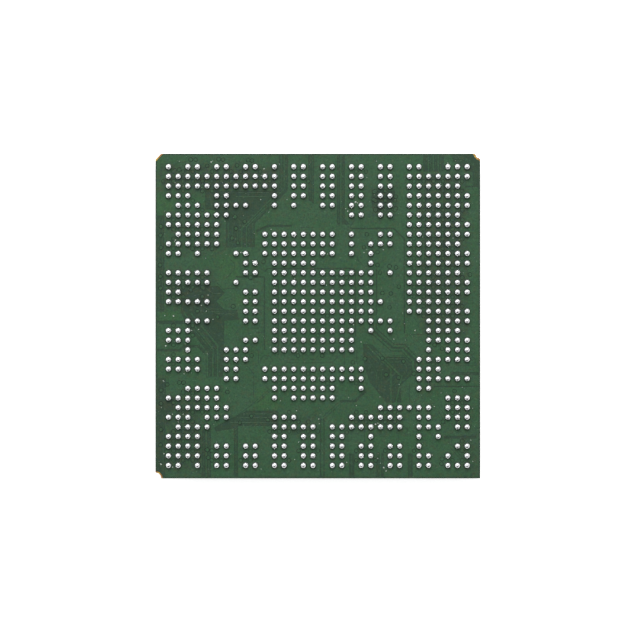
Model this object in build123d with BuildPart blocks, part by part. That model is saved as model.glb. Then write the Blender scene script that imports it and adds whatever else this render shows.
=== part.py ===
from build123d import *
import os
from math import radians, sqrt, tan

os.makedirs("parts", exist_ok=True)

# Ball grid array package, shown with its balls up. Millimetres, +Z up.
# The origin is under the middle of the package, on the face that it lies on.

# Ball grid
BALL_PITCH = 0.8
GRID_COUNT = 32
EDGE_MARGIN = 1.1
BALL_DIAMETER = 0.5
BALL_HEIGHT = 0.4
BALL_FOOT_INSET = 0.015
BALL_SHOULDER_RISE = 0.04
BALL_SIDES = 4

# Laminate: copper and solder mask on both faces of a core
CORE_THICKNESS = 0.44
COPPER_THICKNESS = 0.03
MASK_OVER_COPPER = 0.03
COPPER_PULLBACK = 0.13
CORNER_CUT = 0.48
CORNER_NOTCH_WIDTH = 0.16
CORNER_NOTCH_DEPTH = 0.07
PLATED_STRIP_WIDTH = 0.12
PLATING_GAP = 0.08

# Mould cap
CAP_MARGIN = 1.5
CAP_HEIGHT = 1.17
CAP_CORNER = 1.6
CAP_DRAFT = 30
CORNER_MARK_DIAMETER = 1.0
CORNER_MARK_DEPTH = 0.06
CORNER_MARK_MARGIN = 1.9

# Chip and its wiring
DIE_SIDE = 9.0
DIE_THICKNESS = 0.3
ADHESIVE_THICKNESS = 0.03
ADHESIVE_MARGIN = 0.2
PADDLE_MARGIN = 0.6
FINGER_CLEARANCE = 1.1
FINGER_LENGTH = 0.6
FINGER_WIDTH = 0.2
RING_CLEARANCE = 1.2
WIRES_PER_SIDE = 6
WIRE_END_MARGIN = 1.0
WIRE_SIZE = 0.04
WIRE_LOOP = 0.2
WIRE_INSET = 0.2
WIRE_REACH = 0.6

# Rows of balls, from the far edge, with the columns that hold a ball, from the left
BALL_MAP = {
    "A": "1 3-4 6-7 9-10 12 14-15 17-18 20-21 23-24 26-27 30-32",
    "B": "1-12 14-15 17-18 20-21 23-24 26-32",
    "C": "1-12 14-15 17-18 20-21 23-24 26-31",
    "D": "1-3 6-7 12 14-15 17-18 20-21 23-24 26-32",
    "E": "2-4 6-9 12 14 17-18 20-21 23-24 26-32",
    "F": "1-7 20-21 23-24 26-31",
    "G": "1-6 26-32",
    "H": "2-6 11-18 20 23-24 26-32",
    "J": "1-6 11-18 20 22-24 26-31",
    "K": "1-2 4 8-9 11-18 20 22 26-32",
    "L": "9-10 12-16 22 26-32",
    "M": "1-5 9-10 12-22 24 26-31",
    "N": "1-5 8 12-22 26-32",
    "P": "1-2 9-10 12-22 26-32",
    "R": "1-5 9-10 12-23 26-31",
    "T": "9-10 12-22 26-32",
    "U": "3-5 9-10 12-24 28-32",
    "V": "1-3 12-20 22 24 28-31",
    "W": "1-3 9-10 12-20 28-32",
    "Y": "3 7-9 12-20 28 30-32",
    "AA": "1-4 7-9 27-32",
    "AB": "1-4 7-8 11-21 27-29",
    "AC": "7-8 11-21 27-32",
    "AD": "3-6 12-18 21 27-28",
    "AE": "1-6 12 14-18 30-32",
    "AF": "2-7 23-28 30-32",
    "AG": "1-3 5-7 12-14 20-25 27-28 30-32",
    "AH": "2-5 12-16 18-25 27-29 31-32",
    "AJ": "1-4 12-13 15-16 18-19 22 27 29",
    "AK": "1-4 6-7 9-10 12-13 15-16 18-19 21-22 24-25 27 31-32",
    "AL": "1-4 6-7 9-10 12-13 15-16 18-19 21-22 24-25 27-28 30 32",
    "AM": "1-2 4 6-7 9-10 12-13 15-16 18-19 21-22 24-25 27-28 30-32",
}

# Copper pattern of the ball side, in ball columns and rows
# Places past the four edges of the laminate
FAR = LEFT = -2
NEAR = RIGHT = GRID_COUNT + 3
# Bare fields, where the plane is left out
BARE_FIELDS = {
    "far left routing": [
        (12.45, FAR), (13.4, FAR), (13.4, 3.45), (9.95, 6.9), (9.95, 9.35), (6.95, 9.35),
        (6.95, 6.5), (5.6, 5.45), (4.8, 5.45), (4.8, 3.5), (12.45, 3.5),
    ],
    "far channel": [(15.5, FAR), (16.1, FAR), (16.1, 4.9), (15.5, 4.4)],
    "far middle channel": [(18.5, FAR), (19.3, FAR), (19.3, 6.4), (19.9, 7.0), (18.5, 7.0)],
    "far right channel": [(27.45, FAR), (29.6, FAR), (29.6, 1.5), (27.45, 1.5)],
    "far right corner": [
        (30.3, FAR), (RIGHT, FAR), (RIGHT, 3.0), (32.6, 3.0), (32.6, 1.6), (30.6, 0.45),
    ],
    "between the far pairs": [(22.1, 3.5), (24.5, 3.5), (24.5, 4.5), (22.8, 5.7), (22.1, 5.3)],
    "left edge": [(LEFT, 6.05), (0.55, 6.05), (0.55, 16.05), (LEFT, 16.05)],
    "left routing": [
        (2.3, 13.4), (6.2, 13.4), (6.85, 14.1), (5.95, 15.0), (6.75, 15.85), (8.1, 15.85),
        (8.3, 16.9), (6.8, 17.0), (6.65, 22.8), (5.1, 22.8), (5.1, 20.35), (2.9, 17.5),
        (2.3, 16.2),
    ],
    "near left edge": [
        (LEFT, 23.0), (0.7, 23.0), (0.7, 25.2), (1.6, 25.2), (1.6, 26.4), (0.65, 26.6),
        (0.65, NEAR), (LEFT, NEAR),
    ],
    "near left crossing": [
        (5.7, 28.1), (7.3, 27.25), (9.1, 26.35), (12.4, 26.35), (12.4, 27.95), (8.3, 27.95),
        (7.75, 28.2), (5.9, 28.5),
    ],
    "near left channel": [(4.45, 28.4), (5.4, 28.4), (5.4, NEAR), (4.45, NEAR)],
    "near second channel": [(7.8, 27.9), (8.2, 27.9), (8.2, NEAR), (7.8, NEAR)],
    "near middle channel": [(16.72, 27.3), (17.0, 27.0), (17.2, 27.3), (17.2, NEAR), (16.72, NEAR)],
    "near fourth channel": [(19.75, 30.8), (20.3, 30.8), (20.3, NEAR), (19.75, NEAR)],
    "near fifth channel": [(22.6, 30.7), (23.35, 30.7), (23.35, NEAR), (22.6, NEAR)],
    "near right channel": [(25.85, 30.8), (26.35, 30.8), (26.35, NEAR), (25.85, NEAR)],
    "near right routing": [
        (21.2, 19.4), (22.2, 19.5), (23.4, 20.75), (25.6, 20.75), (26.35, 21.5), (26.35, 22.6),
        (25.1, 23.7), (25.1, 25.5), (23.6, 25.5), (21.9, 23.4), (21.3, 21.6),
    ],
}
# Gaps that part one plane from the next: their width in millimetres, then their route
PLANE_GAPS = [
    (0.12, [(19.9, 7.42), (24.4, 7.42), (25.5, 8.5), (25.5, 18.3)]),
    (0.1, [(11.0, 11.9), (11.3, 11.57), (20.2, 11.57), (20.42, 11.8), (20.42, 18.6)]),
    (0.1, [(8.0, 12.45), (10.95, 12.45), (10.95, 20.0)]),
    (0.1, [(12.38, 12.7), (12.38, 20.6)]),
    (0.18, [(10.1, 7.75), (10.6, 7.45), (11.3, 7.15), (13.8, 7.15)]),
    (0.12, [(31.8, 3.05), (RIGHT, 3.05)]),
    (0.3, [(LEFT, 17.17), (2.8, 17.17)]),
    (0.22, [(LEFT, 20.05), (2.2, 20.05), (2.6, 19.65), (4.2, 19.65), (4.8, 20.3)]),
    (0.2, [(18.8, 25.35), (20.4, 25.35), (21.5, 24.3)]),
    (0.1, [(22.6, 11.6), (22.6, 16.4)]),
    (0.1, [(29.6, 2.5), (29.6, 11.0)]),
    (0.26, [(30.3, 22.5), (RIGHT, 22.5)]),
    (0.12, [(28.6, 23.83), (RIGHT, 23.83)]),
    (0.24, [(29.6, 29.1), (33.0, 29.1)]),
    (0.64, [(22.25, 17.3), (22.25, 18.0), (24.3, 19.8), (25.35, 19.8), (26.6, 21.1), (26.6, 22.0)]),
]
# Tracks that cross the bare fields: their width in millimetres, then their route
TRACKS = [
    (0.1, [(12.7, FAR), (12.7, 3.3), (8.6, 7.4), (8.6, 9.5)]),
    (0.1, [(13.0, FAR), (13.0, 3.3), (9.1, 7.2), (9.1, 9.5)]),
    (0.12, [(18.9, FAR), (18.9, 7.2)]),
    (0.1, [(28.0, FAR), (28.0, 1.6)]),
    (0.1, [(28.5, FAR), (28.5, 1.6)]),
    (0.1, [(29.0, FAR), (29.0, 1.6)]),
    (0.12, [(3.3, 16.2), (6.1, 19.6), (6.1, 23.0)]),
    (0.12, [(2.6, 16.2), (5.6, 19.9), (5.6, 23.0)]),
    (0.12, [(4.9, 28.2), (4.9, NEAR)]),
    (0.12, [(16.96, 26.8), (16.96, NEAR)]),
    (0.12, [(23.0, 30.5), (23.0, NEAR)]),
    (0.16, [(22.4, 17.2), (22.4, 17.85), (24.4, 19.62), (25.45, 19.62), (26.8, 20.95), (26.8, 22.1)]),
    (0.16, [(22.1, 17.2), (22.1, 18.15), (24.2, 20.0), (25.25, 20.0), (26.4, 21.2), (26.4, 22.1)]),
    (0.12, [(21.6, 19.6), (24.1, 22.1), (24.1, 25.6)]),
    (0.12, [(22.6, 20.2), (25.2, 22.8), (24.6, 25.6)]),
]

# Sizes that follow
BODY_SIDE = (GRID_COUNT - 1) * BALL_PITCH + 2 * EDGE_MARGIN
HALF_BODY = BODY_SIDE / 2
GRID_MIDDLE = (GRID_COUNT + 1) / 2
CAP_SIDE = BODY_SIDE - 2 * CAP_MARGIN
CAP_TOP_SIDE = CAP_SIDE - 2 * CAP_HEIGHT * tan(radians(CAP_DRAFT))
ADHESIVE_SIDE = DIE_SIDE + 2 * ADHESIVE_MARGIN
PADDLE_SIDE = ADHESIVE_SIDE + 2 * PADDLE_MARGIN
FINGER_START = PADDLE_SIDE / 2 + FINGER_CLEARANCE
FINGER_END = FINGER_START + FINGER_LENGTH
RING_START = FINGER_END + RING_CLEARANCE
WIRE_SPACING = (DIE_SIDE - 2 * WIRE_END_MARGIN) / (WIRES_PER_SIDE - 1)
LAYER_THICKNESS = COPPER_THICKNESS + MASK_OVER_COPPER

# Heights of the faces between the layers, from the face that the package lies on
UNDERSIDE = CAP_HEIGHT
CORE_UNDERSIDE = UNDERSIDE + LAYER_THICKNESS
CORE_TOP = CORE_UNDERSIDE + CORE_THICKNESS
MASK_TOP = CORE_TOP + LAYER_THICKNESS
DIE_BACK = UNDERSIDE - ADHESIVE_THICKNESS
DIE_FACE = DIE_BACK - DIE_THICKNESS


def grid_place(column, row):
    """Place of a ball column and row, counted from the far left corner."""
    return (column - GRID_MIDDLE) * BALL_PITCH, (GRID_MIDDLE - row) * BALL_PITCH


def band_outline(route, width):
    """Corner points of a band of even width along a route, with mitred bends."""
    points = [Vector(*point) for point in route]
    runs = [(after - before).normalized() for before, after in zip(points, points[1:])]
    arriving = [runs[0], *runs]
    leaving = [*runs, runs[-1]]
    side = []
    for run_in, run_out in zip(arriving, leaving):
        across = Vector(-run_in.Y - run_out.Y, run_in.X + run_out.X)
        side.append(across * (width / 2 / (1 + run_in.dot(run_out))))
    left = [point + shift for point, shift in zip(points, side)]
    right = [point - shift for point, shift in zip(points, side)]
    return left + right[::-1]


def laminate_outline(growth=0.0, pullback=0.0):
    """Outline of the laminate, its three corner cuts grown and its sides pulled back."""
    leg = CORNER_CUT + growth * sqrt(2)
    notch_middle = HALF_BODY - CORNER_CUT / 2
    notch_reach = 2 * (CORNER_NOTCH_DEPTH + growth)
    with BuildSketch() as outline:
        Rectangle(BODY_SIDE - 2 * pullback, BODY_SIDE - 2 * pullback)
        for corner in (-HALF_BODY, HALF_BODY):
            inwards = corner - leg if corner > 0 else corner + leg
            Polygon(
                (corner, HALF_BODY),
                (inwards, HALF_BODY),
                (corner, HALF_BODY - leg),
                align=None,
                mode=Mode.SUBTRACT,
            )
        with Locations((notch_middle, notch_middle)):
            Rectangle(
                CORNER_NOTCH_WIDTH + 2 * growth, notch_reach, rotation=-45, mode=Mode.SUBTRACT
            )
        with Locations((-HALF_BODY, -HALF_BODY)):
            Circle(CORNER_CUT + growth, mode=Mode.SUBTRACT)
    return outline.sketch


def copper_pattern():
    """Planes and tracks of the ball side, with the bare fields and gaps left out."""
    with BuildSketch() as pattern:
        add(laminate_outline(PLATED_STRIP_WIDTH + PLATING_GAP, COPPER_PULLBACK))
        for corners in BARE_FIELDS.values():
            places = [grid_place(*corner) for corner in corners]
            Polygon(*places, align=None, mode=Mode.SUBTRACT)
        for width, route in PLANE_GAPS:
            places = [grid_place(*stop) for stop in route]
            Polygon(*band_outline(places, width), align=None, mode=Mode.SUBTRACT)
        for width, route in TRACKS:
            places = [grid_place(*stop) for stop in route]
            Polygon(*band_outline(places, width), align=None)
        add(laminate_outline(PLATED_STRIP_WIDTH + PLATING_GAP, COPPER_PULLBACK), mode=Mode.INTERSECT)
    return pattern.sketch


def columns_of(ranges):
    """Column numbers that a line of the ball map stands for."""
    columns = []
    for item in ranges.split():
        first, _, last = item.partition("-")
        columns.extend(range(int(first), int(last or first) + 1))
    return columns


def ball_corners():
    """Corners of one faceted ball, which stands on its foot at the origin."""
    radius = BALL_DIAMETER / 2
    shoulder = Vector(radius, 0, BALL_HEIGHT - radius + BALL_SHOULDER_RISE)
    foot = Vector(radius - BALL_FOOT_INSET, 0, 0)
    turn = 360 / BALL_SIDES
    corners = [Vector(0, 0, BALL_HEIGHT)]
    for side in range(BALL_SIDES):
        corners.append(shoulder.rotate(Axis.Z, turn * side))
        corners.append(foot.rotate(Axis.Z, turn * (side + 0.5)))
    return corners


def side_places(count, spacing):
    """Places evenly spaced along each of the four sides of the chip, turned to face out."""
    places = []
    for turn in range(0, 360, 90):
        for number in range(count):
            along = (number - (count - 1) / 2) * spacing
            places.append(Location((0, 0, 0), (0, 0, turn)) * Location((0, along, 0)))
    return places


def save(part, name):
    """Label a finished piece and write its file."""
    part.label = name
    export_step(part, f"parts/{name}.step")


# Laminate core
board_outline = laminate_outline()
with BuildPart() as laminate_core:
    with BuildSketch(Plane.XY.offset(CORE_UNDERSIDE)):
        add(board_outline)
    extrude(amount=CORE_THICKNESS)
save(laminate_core.part, "laminate_core")

# Bare plated strips along the three corner cuts
mask_outline = laminate_outline(PLATED_STRIP_WIDTH)
with BuildPart() as corner_plating:
    with BuildSketch(Plane.XY.offset(CORE_TOP)):
        add(board_outline)
        add(mask_outline, mode=Mode.SUBTRACT)
    extrude(amount=COPPER_THICKNESS)
save(corner_plating.part, "corner_plating")

# Copper of the ball side
ball_side_pattern = copper_pattern()
with BuildPart() as ball_side_copper:
    with BuildSketch(Plane.XY.offset(CORE_TOP)):
        add(ball_side_pattern)
    extrude(amount=COPPER_THICKNESS)
save(ball_side_copper.part, "ball_side_copper")

# Solder mask of the ball side, which fills the gaps in the copper
with BuildPart() as ball_side_mask:
    with BuildSketch(Plane.XY.offset(CORE_TOP)):
        add(mask_outline)
    extrude(amount=LAYER_THICKNESS)
    add(ball_side_copper.part, mode=Mode.SUBTRACT)
save(ball_side_mask.part, "ball_side_mask")

# Solder balls, the same ball set down along each row of the grid
one_ball = ConvexPolyhedron(ball_corners())
for row, (letters, ranges) in enumerate(BALL_MAP.items(), start=1):
    places = [(*grid_place(column, row), MASK_TOP) for column in columns_of(ranges)]
    with BuildPart() as ball_row:
        with Locations(*places):
            add(one_ball)
    save(ball_row.part, f"ball_row_{letters.lower()}")

# Copper of the die side: a paddle under the chip and a ring out to the edge
with BuildPart() as die_side_copper:
    with BuildSketch(Plane.XY.offset(CORE_UNDERSIDE)):
        add(laminate_outline(PLATED_STRIP_WIDTH, COPPER_PULLBACK))
        Rectangle(2 * RING_START, 2 * RING_START, mode=Mode.SUBTRACT)
        Rectangle(PADDLE_SIDE, PADDLE_SIDE)
    extrude(amount=-COPPER_THICKNESS)
save(die_side_copper.part, "die_side_copper")

# Bond fingers, plated up to the face of the mask
wire_places = side_places(WIRES_PER_SIDE, WIRE_SPACING)
with BuildPart() as one_finger:
    with BuildSketch(Plane.XY.offset(UNDERSIDE)):
        with Locations(((FINGER_START + FINGER_END) / 2, 0)):
            Rectangle(FINGER_LENGTH, FINGER_WIDTH)
    extrude(amount=LAYER_THICKNESS)
with BuildPart() as bond_fingers:
    with Locations(*wire_places):
        add(one_finger.part)
save(bond_fingers.part, "bond_fingers")

# Solder mask of the die side, open at the bond fingers
with BuildPart() as die_side_mask:
    with BuildSketch(Plane.XY.offset(UNDERSIDE)):
        add(board_outline)
    extrude(amount=LAYER_THICKNESS)
    add(die_side_copper.part, mode=Mode.SUBTRACT)
    add(bond_fingers.part, mode=Mode.SUBTRACT)
save(die_side_mask.part, "die_side_mask")

# Adhesive that holds the chip to the laminate
with BuildPart() as die_attach:
    with BuildSketch(Plane.XY.offset(UNDERSIDE)):
        Rectangle(ADHESIVE_SIDE, ADHESIVE_SIDE)
    extrude(amount=-ADHESIVE_THICKNESS)
save(die_attach.part, "die_attach")

# Silicon chip
with BuildPart() as silicon_die:
    with BuildSketch(Plane.XY.offset(DIE_BACK)):
        Rectangle(DIE_SIDE, DIE_SIDE)
    extrude(amount=-DIE_THICKNESS)
save(silicon_die.part, "silicon_die")

# Bond wires: up from the chip, over its edge and down to a finger
wire_start = DIE_SIDE / 2 - WIRE_INSET
wire_end = (FINGER_START + FINGER_END) / 2
wire_route = [
    (wire_start, DIE_BACK),
    (wire_start, DIE_FACE - WIRE_LOOP),
    (DIE_SIDE / 2 + WIRE_REACH, DIE_FACE - WIRE_LOOP),
    (wire_end, UNDERSIDE + WIRE_SIZE),
]
with BuildPart() as one_wire:
    with BuildSketch(Plane.XZ):
        Polygon(*band_outline(wire_route, WIRE_SIZE), align=None)
        with Locations((0, (DIE_FACE + DIE_BACK) / 2)):
            Rectangle(DIE_SIDE, DIE_THICKNESS, mode=Mode.SUBTRACT)
        with Locations((0, UNDERSIDE + LAYER_THICKNESS)):
            Rectangle(BODY_SIDE, 2 * LAYER_THICKNESS, mode=Mode.SUBTRACT)
    extrude(amount=WIRE_SIZE / 2, both=True)
with BuildPart() as bond_wires:
    with Locations(*wire_places):
        add(one_wire.part)
save(bond_wires.part, "bond_wires")

# Mould cap, cast around the chip and its wires, with a round mark at the first ball's corner
with BuildPart() as mould_cap:
    with BuildSketch(Plane.XY.offset(UNDERSIDE)) as cap_foot:
        Rectangle(CAP_SIDE, CAP_SIDE)
        chamfer(cap_foot.vertices(), CAP_CORNER)
    extrude(amount=-CAP_HEIGHT, taper=CAP_DRAFT)
    mark_place = CAP_TOP_SIDE / 2 - CORNER_MARK_MARGIN
    with BuildSketch(Plane.XY):
        with Locations((-mark_place, mark_place)):
            Circle(CORNER_MARK_DIAMETER / 2)
    extrude(amount=CORNER_MARK_DEPTH, mode=Mode.SUBTRACT)
    add(die_attach.part, mode=Mode.SUBTRACT)
    add(silicon_die.part, mode=Mode.SUBTRACT)
    add(bond_wires.part, mode=Mode.SUBTRACT)
save(mould_cap.part, "mould_cap")
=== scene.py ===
# %% [markdown]
# # A ball grid array chip, seen from its solder balls
#
# This lesson dresses a finished CAD model of a chip package in Blender. The package is a square of green
# laminate, 27 mm wide. Its upper face carries copper under a thin green lacquer, which is called solder
# mask, and 640 small solder balls. Its lower face carries a black cap of moulded resin, on which it lies.
#
# The CAD model gives every size and place. What Blender adds is what one sees: round balls, the lacquer
# that rises over the copper and sinks beside it, fine tracks, plated holes, dust, and a finish for each
# material.

# %% Load the frame
import bpy
import math
import random
from mathutils import Matrix, Vector


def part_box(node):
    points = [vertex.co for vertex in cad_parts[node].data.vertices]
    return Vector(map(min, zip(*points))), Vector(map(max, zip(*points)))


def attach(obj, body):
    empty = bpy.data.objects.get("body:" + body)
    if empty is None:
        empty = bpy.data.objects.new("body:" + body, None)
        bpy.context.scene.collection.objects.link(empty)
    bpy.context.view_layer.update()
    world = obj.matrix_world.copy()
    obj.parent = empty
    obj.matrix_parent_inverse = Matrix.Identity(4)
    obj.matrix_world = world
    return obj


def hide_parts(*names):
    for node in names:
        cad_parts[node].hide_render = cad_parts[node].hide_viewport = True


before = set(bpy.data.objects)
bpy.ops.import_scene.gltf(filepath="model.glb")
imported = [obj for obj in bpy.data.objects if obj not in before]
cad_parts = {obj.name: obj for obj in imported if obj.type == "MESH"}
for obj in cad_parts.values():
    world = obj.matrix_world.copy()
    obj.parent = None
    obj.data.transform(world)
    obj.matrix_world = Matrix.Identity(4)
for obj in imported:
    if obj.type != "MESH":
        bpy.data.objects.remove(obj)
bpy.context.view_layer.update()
MM = 0.001
TINY = 0.001 * MM

# %% [markdown]
# ## Places on the chip
#
# The balls stand on a grid, so each place on the upper face is easiest to name by the ball column and row,
# counted from the far left corner, as it is in a chip's data sheet. Fractions lie between two balls.
# Heights come from the CAD nodes, so that nothing floats when the model changes.

# %% Grid and heights
PITCH = 0.8 * MM
GRID_MIDDLE = 16.5
FILM_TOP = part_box("ball_side_mask")[1].z
CORE_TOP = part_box("laminate_core")[1].z
CORE_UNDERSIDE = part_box("laminate_core")[0].z


def on_grid(column, row, height=0.0):
    """The point at a ball column and row, at a height above the lacquer."""
    return Vector(((column - GRID_MIDDLE) * PITCH, (GRID_MIDDLE - row) * PITCH, FILM_TOP + height))


print("lacquer at", round(FILM_TOP / MM, 3), "mm")
print("core from", round(CORE_UNDERSIDE / MM, 3), "to", round(CORE_TOP / MM, 3), "mm")

# %% [markdown]
# ## Tools for the bench
#
# Every piece below is made as it would be by hand: a primitive is added, shaped in edit mode, and finished.
# A few short helpers keep that readable. One clears the selection, because an operator acts on all that is
# selected. One opens the mesh of a single object for editing and closes it again. One lays out copies of a
# small model and joins them, each with its own mesh.

# %% Bench helpers
def clear_bench():
    """Nothing selected, nothing in edit mode."""
    if bpy.context.object and bpy.context.object.mode != "OBJECT":
        bpy.ops.object.mode_set(mode="OBJECT")
    bpy.ops.object.select_all(action="DESELECT")


def take(piece):
    """Makes one object the only one selected."""
    clear_bench()
    piece.select_set(True)
    bpy.context.view_layer.objects.active = piece
    return piece


def select_where(piece, faces=None, edges=None, points=None):
    """Opens a piece in edit mode with the faces, edges or points selected that a test picks."""
    take(piece)
    mesh = piece.data
    for group in (mesh.polygons, mesh.edges, mesh.vertices):
        for item in group:
            item.select = False
    if faces:
        kind = "FACE"
        for face in mesh.polygons:
            face.select = faces(face)
    elif edges:
        kind = "EDGE"
        for edge in mesh.edges:
            edge.select = edges(*(mesh.vertices[v].co for v in edge.vertices))
    else:
        kind = "VERT"
        for point in mesh.vertices:
            point.select = points(point.co)
    kinds = bpy.context.scene.tool_settings
    kinds.mesh_select_mode = (kind == "VERT", kind == "EDGE", kind == "FACE")
    bpy.ops.object.mode_set(mode="EDIT")


def close_edit():
    """Back from edit mode."""
    bpy.ops.object.mode_set(mode="OBJECT")


def settle(piece):
    """Moves a piece's place, turn and size into its mesh, so that its object sits at the origin."""
    take(piece)
    bpy.ops.object.transform_apply(location=True, rotation=True, scale=True)
    return piece


def copy_at(model, place, turn=0.0, size=1.0, name="copy"):
    """A copy of a small model with a mesh of its own, set down at a place."""
    mesh = model.data.copy()
    mesh.transform(Matrix.Translation(place) @ Matrix.Rotation(turn, 4, "Z") @ Matrix.Scale(size, 4))
    piece = bpy.data.objects.new(name, mesh)
    bpy.context.scene.collection.objects.link(piece)
    return piece


def join(pieces, name):
    """Several objects as one piece."""
    clear_bench()
    for piece in pieces:
        piece.select_set(True)
    bpy.context.view_layer.objects.active = pieces[0]
    if len(pieces) > 1:
        bpy.ops.object.join()
    made = bpy.context.view_layer.objects.active
    made.name = made.data.name = name
    return made


def drop(*pieces):
    """Clears models away that were only there to be copied."""
    for piece in pieces:
        bpy.data.objects.remove(piece, do_unlink=True)


def count(piece):
    """Triangles of a piece."""
    return sum(len(face.vertices) - 2 for face in piece.data.polygons)


# %% [markdown]
# ## Maths on sockets
#
# A procedural material is a small calculation that runs at every point of a surface. Written node by node
# it is hard to read, so a socket is wrapped in a class that understands +, -, * and /. Then
# `1 - worn * 0.3` adds the Math nodes by itself. Any other node comes from one method, which takes the
# node's type, its settings and what goes into its sockets.

# %% Socket wrapper
class Wire:
    """One output socket of a node. Arithmetic on it adds Math nodes."""

    def __init__(self, recipe, socket):
        self.recipe = recipe
        self.socket = socket

    def maths(self, operation, first, second=0.0, clamp=False):
        return self.recipe.add(
            "ShaderNodeMath", {"operation": operation, "use_clamp": clamp}, {0: first, 1: second}
        )

    def __add__(self, other):
        return self.maths("ADD", self, other)

    __radd__ = __add__

    def __sub__(self, other):
        return self.maths("SUBTRACT", self, other)

    def __rsub__(self, other):
        return self.maths("SUBTRACT", other, self)

    def __mul__(self, other):
        return self.maths("MULTIPLY", self, other)

    __rmul__ = __mul__

    def __truediv__(self, other):
        return self.maths("DIVIDE", self, other)

    def clamped(self):
        """Held between 0 and 1."""
        return self.maths("ADD", self, 0.0, clamp=True)

    def smaller(self, other):
        return self.maths("MINIMUM", self, other)

    def larger(self, other):
        return self.maths("MAXIMUM", self, other)

    def above(self, level, softness):
        """0 below a level, 1 above it, with a soft step between."""
        return ((self - level) / softness + 0.5).clamped()


class Recipe:
    """The nodes of a material, or of the world, in the making."""

    def __init__(self, owner, shader):
        owner.use_nodes = True
        self.owner = owner
        self.nodes = owner.node_tree.nodes
        self.links = owner.node_tree.links
        self.shader = self.nodes[shader]

    def add(self, kind, settings=None, sockets=None, output=0):
        """Adds a node of a type: first its settings, then the values or links of its sockets."""
        node = self.nodes.new(kind)
        for name, value in (settings or {}).items():
            setattr(node, name, value)
        for name, value in (sockets or {}).items():
            self.feed(self.socket_of(node.inputs, name), value)
        return Wire(self, self.socket_of(node.outputs, output))

    def socket_of(self, sockets, name):
        """A socket by its number, its name, or its identifier where a name is used twice."""
        if isinstance(name, int):
            return sockets[name]
        found = [s for s in sockets if s.identifier == name] or [s for s in sockets if s.name == name]
        return found[0]

    def feed(self, socket, value):
        """Links a wire into a socket, or sets the socket's own value."""
        if isinstance(value, Wire):
            self.links.new(value.socket, socket)
        else:
            socket.default_value = value

    def surface(self, **values):
        """Sets sockets of the shader. A name is written with _ for a blank."""
        for name, value in values.items():
            self.feed(self.shader.inputs[name.replace("_", " ")], value)
        return self.owner

    def millimetres(self):
        """The place on the piece, in millimetres."""
        place = self.add("ShaderNodeTexCoord", output="Object")
        return self.add("ShaderNodeVectorMath", {"operation": "SCALE"}, {"Vector": place, "Scale": 1 / MM})

    def other(self, wire, output):
        """Another output of the node that a wire comes from."""
        return Wire(self, self.socket_of(wire.socket.node.outputs, output))

    def along(self, place):
        """The x, y and z of a place as three wires."""
        x = self.add("ShaderNodeSeparateXYZ", None, {0: place}, output="X")
        return x, self.other(x, "Y"), self.other(x, "Z")

    def noise(self, place, scale, detail=2.0, roughness=0.5):
        """Smooth noise between about 0.3 and 0.7, with a number of lumps to the millimetre."""
        return self.add(
            "ShaderNodeTexNoise",
            None,
            {"Vector": place, "Scale": scale, "Detail": detail, "Roughness": roughness},
        )

    def blend(self, share, first, second):
        """One colour over another by a share."""
        return self.add(
            "ShaderNodeMix",
            {"data_type": "RGBA"},
            {"Factor_Float": share, "A_Color": first, "B_Color": second},
            output="Result_Color",
        )

    def bump(self, height, strength, distance):
        """Small relief from a height, in metres."""
        sockets = {"Height": height, "Strength": strength, "Distance": distance}
        return self.add("ShaderNodeBump", None, sockets, output="Normal")


def finish_of(name):
    """The recipe of a new material."""
    return Recipe(bpy.data.materials.new(name), "Principled BSDF")


def paint(red, green, blue):
    """A colour from the three numbers that a screen shows, 0 to 255."""
    linear = []
    for part in (red, green, blue):
        share = part / 255
        linear.append(share / 12.92 if share <= 0.04045 else ((share + 0.055) / 1.055) ** 2.4)
    return (*linear, 1.0)


# %% [markdown]
# ## Solder mask, over copper and beside it
#
# Solder mask is a green lacquer, about 30 micrometres thick and a little cloudy. Where copper lies under
# it, it looks lighter and yellower, and where only laminate lies under it, darker and bluer. The two could
# be one material with a mask, but the copper's outline is already in the mesh, so separate materials from
# one recipe are simpler. A third, between the two, is for fine tracks. All have cloudy patches, a fine
# speckle, warm and cool mottling, and the slight orange skin of a lacquer that was printed on. Around the
# densest balls the plane is broken up by plated holes, which makes it darker and browner there.

# %% Mask finish
# Fields where the plane under the lacquer is broken up: left, right column and far, near row, and how much
BROKEN_FIELDS = [
    (0.0, 12.6, 0.9, 3.6, 0.9),
    (21.9, 24.7, 3.2, 6.2, 0.55),
    (27.2, 31.9, 1.6, 18.6, 0.75),
    (0.6, 6.6, 5.6, 10.0, 0.5),
    (0.3, 5.6, 11.6, 15.6, 0.55),
    (0.4, 4.6, 24.6, 32.8, 0.62),
    (11.4, 16.5, 26.6, 28.8, 0.4),
    (19.6, 25.4, 26.6, 28.6, 0.45),
    (30.5, 32.4, 24.6, 28.4, 0.35),
    (27.3, 29.2, 20.5, 24.2, 0.3),
    (-0.6, 0.6, 22.6, 33.4, 0.5),
    (31.4, 33.3, 28.4, 33.4, 0.45),
    (21.8, 24.6, 31.0, 33.2, 0.3),
]
# Places where the lacquer is thinner over clean copper, so that it looks brighter and yellower
BRIGHT_FIELDS = [
    (-0.4, 0.5, -0.3, 6.0, 0.5),
    (-0.1, 1.6, 4.5, 5.8, 0.8),
    (4.9, 6.2, 5.1, 5.9, 0.6),
    (6.2, 8.3, 10.2, 12.8, 0.6),
    (4.9, 6.5, 13.3, 14.9, 0.9),
    (7.9, 9.6, 14.2, 15.4, 0.6),
    (10.0, 12.4, 24.0, 26.3, 0.6),
    (0.0, 2.1, 16.0, 17.0, 0.5),
    (1.2, 3.4, 20.2, 21.2, 0.4),
    (21.4, 23.0, 27.3, 30.0, 0.4),
]


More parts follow.
